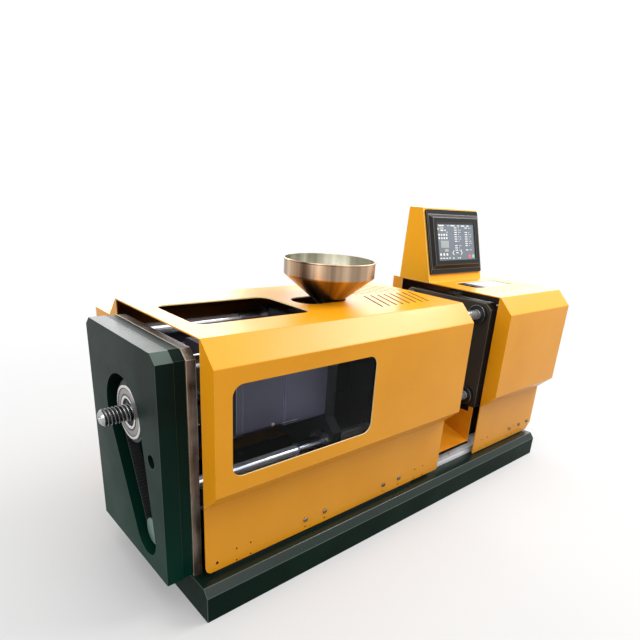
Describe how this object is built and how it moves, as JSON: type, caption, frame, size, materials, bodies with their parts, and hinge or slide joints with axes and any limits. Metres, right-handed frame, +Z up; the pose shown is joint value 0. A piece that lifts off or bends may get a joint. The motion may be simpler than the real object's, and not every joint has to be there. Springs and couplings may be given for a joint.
{
  "type": "injection molding machine",
  "caption": "Small bench injection molding machine: belt-driven ball screw, hopper and barrel, tie-bar clamp, sheet covers and a touch panel on a sliding guard.",
  "frame": {"origin": "centre of the bed's flat underside", "axes": "+X from the drive end to the clamp end, -Y towards the operator, +Z up"},
  "size_m": [1.1015, 0.3937, 0.5753],
  "materials": {
    "dark_green_paint": "gloss",
    "yellow_powder_coat": "satin",
    "bare_steel": "brushed",
    "blackened_steel": "satin",
    "black_oxide": "satin",
    "bright_steel": "polished",
    "bearing_steel": "polished",
    "screw_steel": "polished",
    "belt_rubber": "matt",
    "pulley_aluminium": "anodised",
    "grey_paint": "satin",
    "clear_pane": "clear",
    "black_plastic": "matt",
    "display": "gloss",
    "heat_tinted_steel": "brushed",
    "stainless": "brushed"
  },
  "bodies": {
    "machine_frame": {"bed": "dark_green_paint", "belt_housing": "dark_green_paint", "housing_backing": "dark_green_paint", "support_plate": "bare_steel", "housing_bolt": "black_oxide", "injection_motor": "black_oxide", "guide_bars": "bright_steel", "bar_nuts": "bright_steel", "fixed_platen": "blackened_steel", "clamp_plate": "blackened_steel", "clamp_motor": "black_oxide", "guide_rails": "bright_steel", "part_chute": "yellow_powder_coat", "left_cover": "yellow_powder_coat", "front_window": "clear_pane", "rear_panel": "grey_paint", "electrics_box": "yellow_powder_coat", "electrics_lid": "yellow_powder_coat", "power_inlet": "black_plastic", "skirt_brackets": "black_oxide", "left_cover_screws": "bright_steel", "nut_bearings": "bearing_steel", "injection_belt": "belt_rubber", "clamp_belt": "belt_rubber"},
    "injection_nut_body": {"injection_nut": "bearing_steel", "injection_pulley": "black_oxide", "screw_bearing": "bearing_steel", "screw_wiper": "belt_rubber"},
    "injection_motor_rotor": {"injection_motor_pulley": "pulley_aluminium"},
    "injection_carriage": {"injection_screw": "screw_steel", "yoke_plate": "grey_paint", "yoke_spacers": "bright_steel", "gear_motor": "grey_paint", "pusher_plate": "bare_steel", "pusher_bushes": "bright_steel"},
    "feed_screw_body": {"feed_screw": "screw_steel"},
    "barrel_unit": {"feed_block": "dark_green_paint", "barrel_plate": "bare_steel", "barrel_bushes": "bright_steel", "barrel": "heat_tinted_steel", "heater_bands": "heat_tinted_steel", "nozzle": "heat_tinted_steel", "hopper": "stainless"},
    "clamp_platen": {"moving_platen": "blackened_steel", "platen_collars": "black_oxide", "platen_bushes": "bright_steel", "clamp_screw": "screw_steel"},
    "clamp_nut_body": {"clamp_nut": "bearing_steel", "clamp_pulley": "black_oxide"},
    "clamp_motor_rotor": {"clamp_motor_pulley": "pulley_aluminium"},
    "guard": {"right_cover": "yellow_powder_coat", "right_cover_screws": "bright_steel", "guard_carriages": "bright_steel", "guard_spacers": "black_oxide", "console": "yellow_powder_coat", "panel_frame": "black_plastic", "panel_screen": "display"}
  },
  "joints": [
    {"name": "injection_slide", "type": "slide", "parent": "machine_frame", "child": "injection_carriage", "axis": [1, 0, 0], "range_m": [-0.065, 0.012]},
    {"name": "injection_nut_turn", "type": "hinge", "parent": "machine_frame", "child": "injection_nut_body", "pos_m": [-0.483, 0, 0.282], "axis": [1, 0, 0], "range_deg": [-433, 2341]},
    {"name": "injection_motor_turn", "type": "hinge", "parent": "machine_frame", "child": "injection_motor_rotor", "pos_m": [-0.483, -0.052, 0.109], "axis": [1, 0, 0], "range_deg": [-931, 5041]},
    {"name": "feed_screw_turn", "type": "hinge", "parent": "injection_carriage", "child": "feed_screw_body", "pos_m": [-0.2, 0, 0.282], "axis": [1, 0, 0], "continuous": true},
    {"name": "nozzle_slide", "type": "slide", "parent": "machine_frame", "child": "barrel_unit", "axis": [1, 0, 0], "range_m": [-0.02, 0]},
    {"name": "clamp_slide", "type": "slide", "parent": "machine_frame", "child": "clamp_platen", "axis": [1, 0, 0], "range_m": [-0.1, 0]},
    {"name": "clamp_nut_turn", "type": "hinge", "parent": "machine_frame", "child": "clamp_nut_body", "pos_m": [0.44, 0, 0.282], "axis": [1, 0, 0], "range_deg": [0, 3601]},
    {"name": "clamp_motor_turn", "type": "hinge", "parent": "machine_frame", "child": "clamp_motor_rotor", "pos_m": [0.44, -0.052, 0.109], "axis": [1, 0, 0], "range_deg": [0, 7755]},
    {"name": "guard_slide", "type": "slide", "parent": "machine_frame", "child": "guard", "axis": [1, 0, 0], "range_m": [-0.125, 0]}
  ],
  "couplings": [
    {"joint": "injection_nut_turn", "follows": "injection_slide", "rad_per_m": -628.32},
    {"joint": "injection_motor_turn", "follows": "injection_slide", "rad_per_m": -1353.3},
    {"joint": "clamp_nut_turn", "follows": "clamp_slide", "rad_per_m": -628.32},
    {"joint": "clamp_motor_turn", "follows": "clamp_slide", "rad_per_m": -1353.3}
  ]
}
